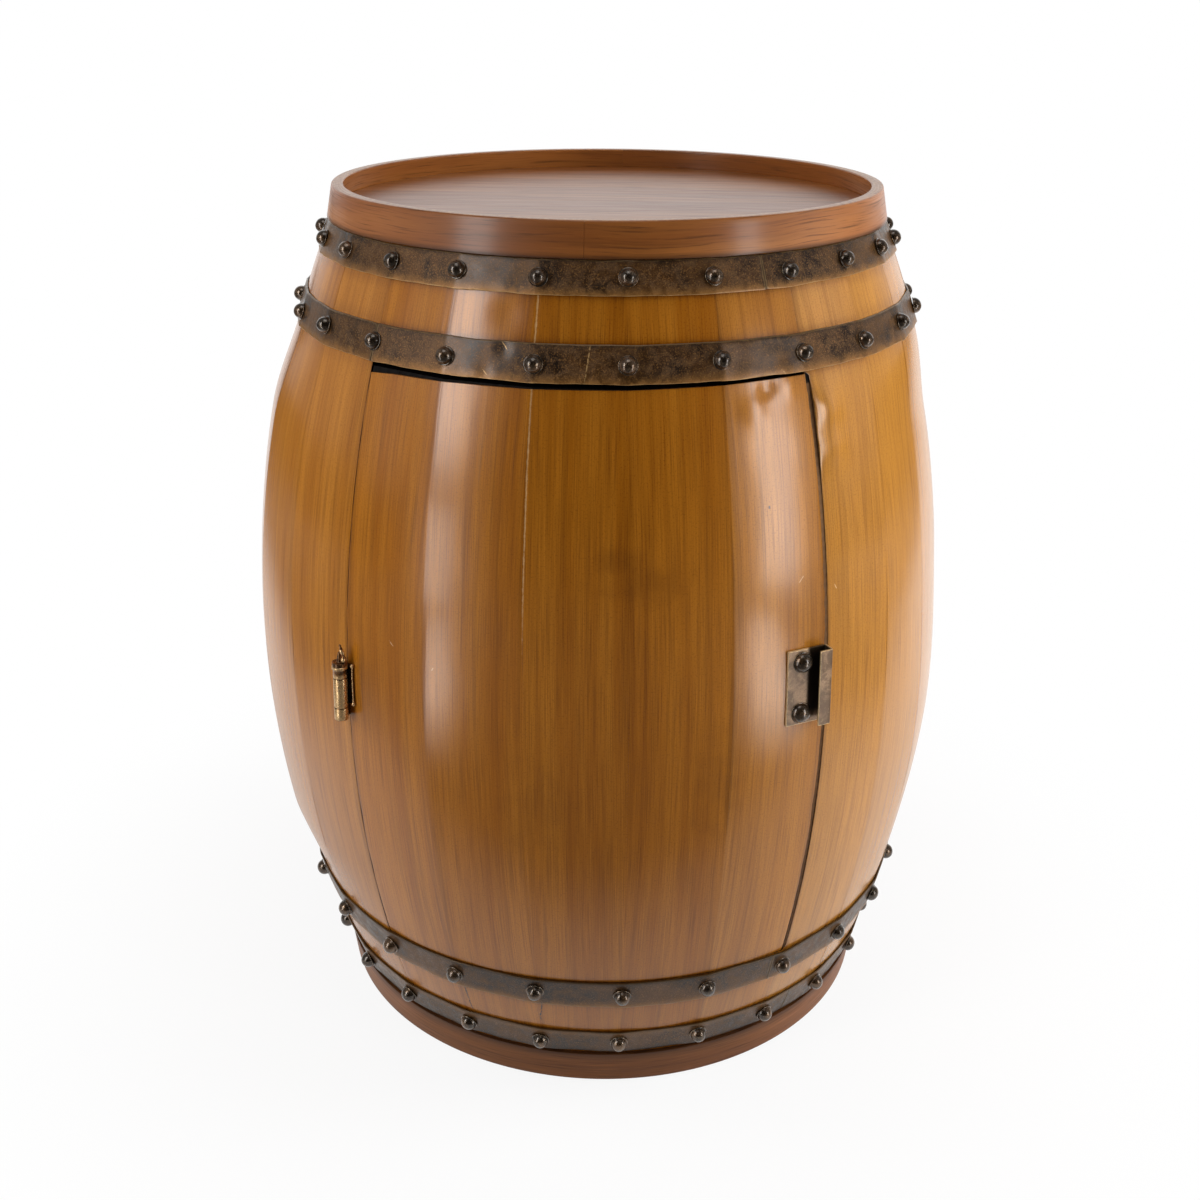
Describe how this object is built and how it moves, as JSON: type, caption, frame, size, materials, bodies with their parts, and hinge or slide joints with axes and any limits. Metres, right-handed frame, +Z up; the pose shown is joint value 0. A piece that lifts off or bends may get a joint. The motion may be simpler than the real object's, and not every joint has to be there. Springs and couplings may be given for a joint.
{
  "type": "barrel side table",
  "caption": "Barrel-shaped side table with nailed metal hoops, a shallow round tray top and a curved hinged door that opens a storage cabinet.",
  "frame": {"origin": "centre of the base ring on the floor", "axes": "+Z up along the barrel's axis; the door faces -Y, its hinge towards -X"},
  "size_m": [0.511, 0.511, 0.61],
  "materials": {
    "stave_lacquer": "sheet steel with a wood-grained honey lacquer, glossy",
    "hoop_metal": "mottled dark bronze patina, satin",
    "nail_metal": "dark burnished heads with brown rub-through",
    "rim_wood": "red-brown stained wood, satin lacquer",
    "frame_wood": "bare birch plywood and strips, thin brown stain",
    "hinge_brass": "antique brass, rubbed",
    "pull_bronze": "brown bronze patina, worn bright at its edges",
    "zinc_steel": "zinc plated",
    "catch_plastic": "brown moulded plastic",
    "magnet": "dark ferrite"
  },
  "bodies": {
    "root": {"stave_01": "stave_lacquer", "stave_02": "stave_lacquer", "stave_03": "stave_lacquer", "stave_04": "stave_lacquer", "stave_05": "stave_lacquer", "stave_06": "stave_lacquer", "stave_07": "stave_lacquer", "stave_08": "stave_lacquer", "stave_09": "stave_lacquer", "stave_10": "stave_lacquer", "stave_11": "stave_lacquer", "stave_12": "stave_lacquer", "stave_13": "stave_lacquer", "stave_14": "stave_lacquer", "stave_15": "stave_lacquer", "stave_16": "stave_lacquer", "stave_17": "stave_lacquer", "stave_18": "stave_lacquer", "stave_19": "stave_lacquer", "door_head_staves": "stave_lacquer", "door_sill_staves": "stave_lacquer", "top_hoop": "hoop_metal", "upper_hoop": "hoop_metal", "lower_hoop": "hoop_metal", "bottom_hoop": "hoop_metal", "end_hoop_nails": "nail_metal", "inner_hoop_nails": "nail_metal", "top_rim": "rim_wood", "base_ring": "rim_wood", "top_board": "rim_wood", "base_panel": "frame_wood", "top_support_ring": "frame_wood", "upper_form_ring": "frame_wood", "cabinet_floor": "frame_wood", "base_board": "frame_wood", "hinge_jamb": "frame_wood", "latch_jamb": "frame_wood", "hinge_frame_leaf": "hinge_brass", "hinge_pin": "hinge_brass", "board_screws": "zinc_steel", "rim_brads": "zinc_steel", "cabinet_screws": "zinc_steel", "catch_pole_plates": "zinc_steel", "catch_case": "catch_plastic", "catch_magnet": "magnet"},
    "door": {"door_stave_1": "stave_lacquer", "door_stave_2": "stave_lacquer", "door_stave_3": "stave_lacquer", "door_stave_4": "stave_lacquer", "door_stave_5": "stave_lacquer", "hinge_stile": "frame_wood", "latch_stile": "frame_wood", "door_top_rail": "frame_wood", "door_bottom_rail": "frame_wood", "hinge_door_leaf": "hinge_brass", "door_screws": "zinc_steel", "pull_handle": "pull_bronze", "pull_rivets": "pull_bronze", "strike_plate": "zinc_steel"}
  },
  "joints": [
    {"name": "door_hinge", "type": "hinge", "parent": "root", "child": "door", "pos_m": [-0.16005, -0.20882, 0.2935], "axis": [0, 0, -1], "range_deg": [0, 165]}
  ]
}
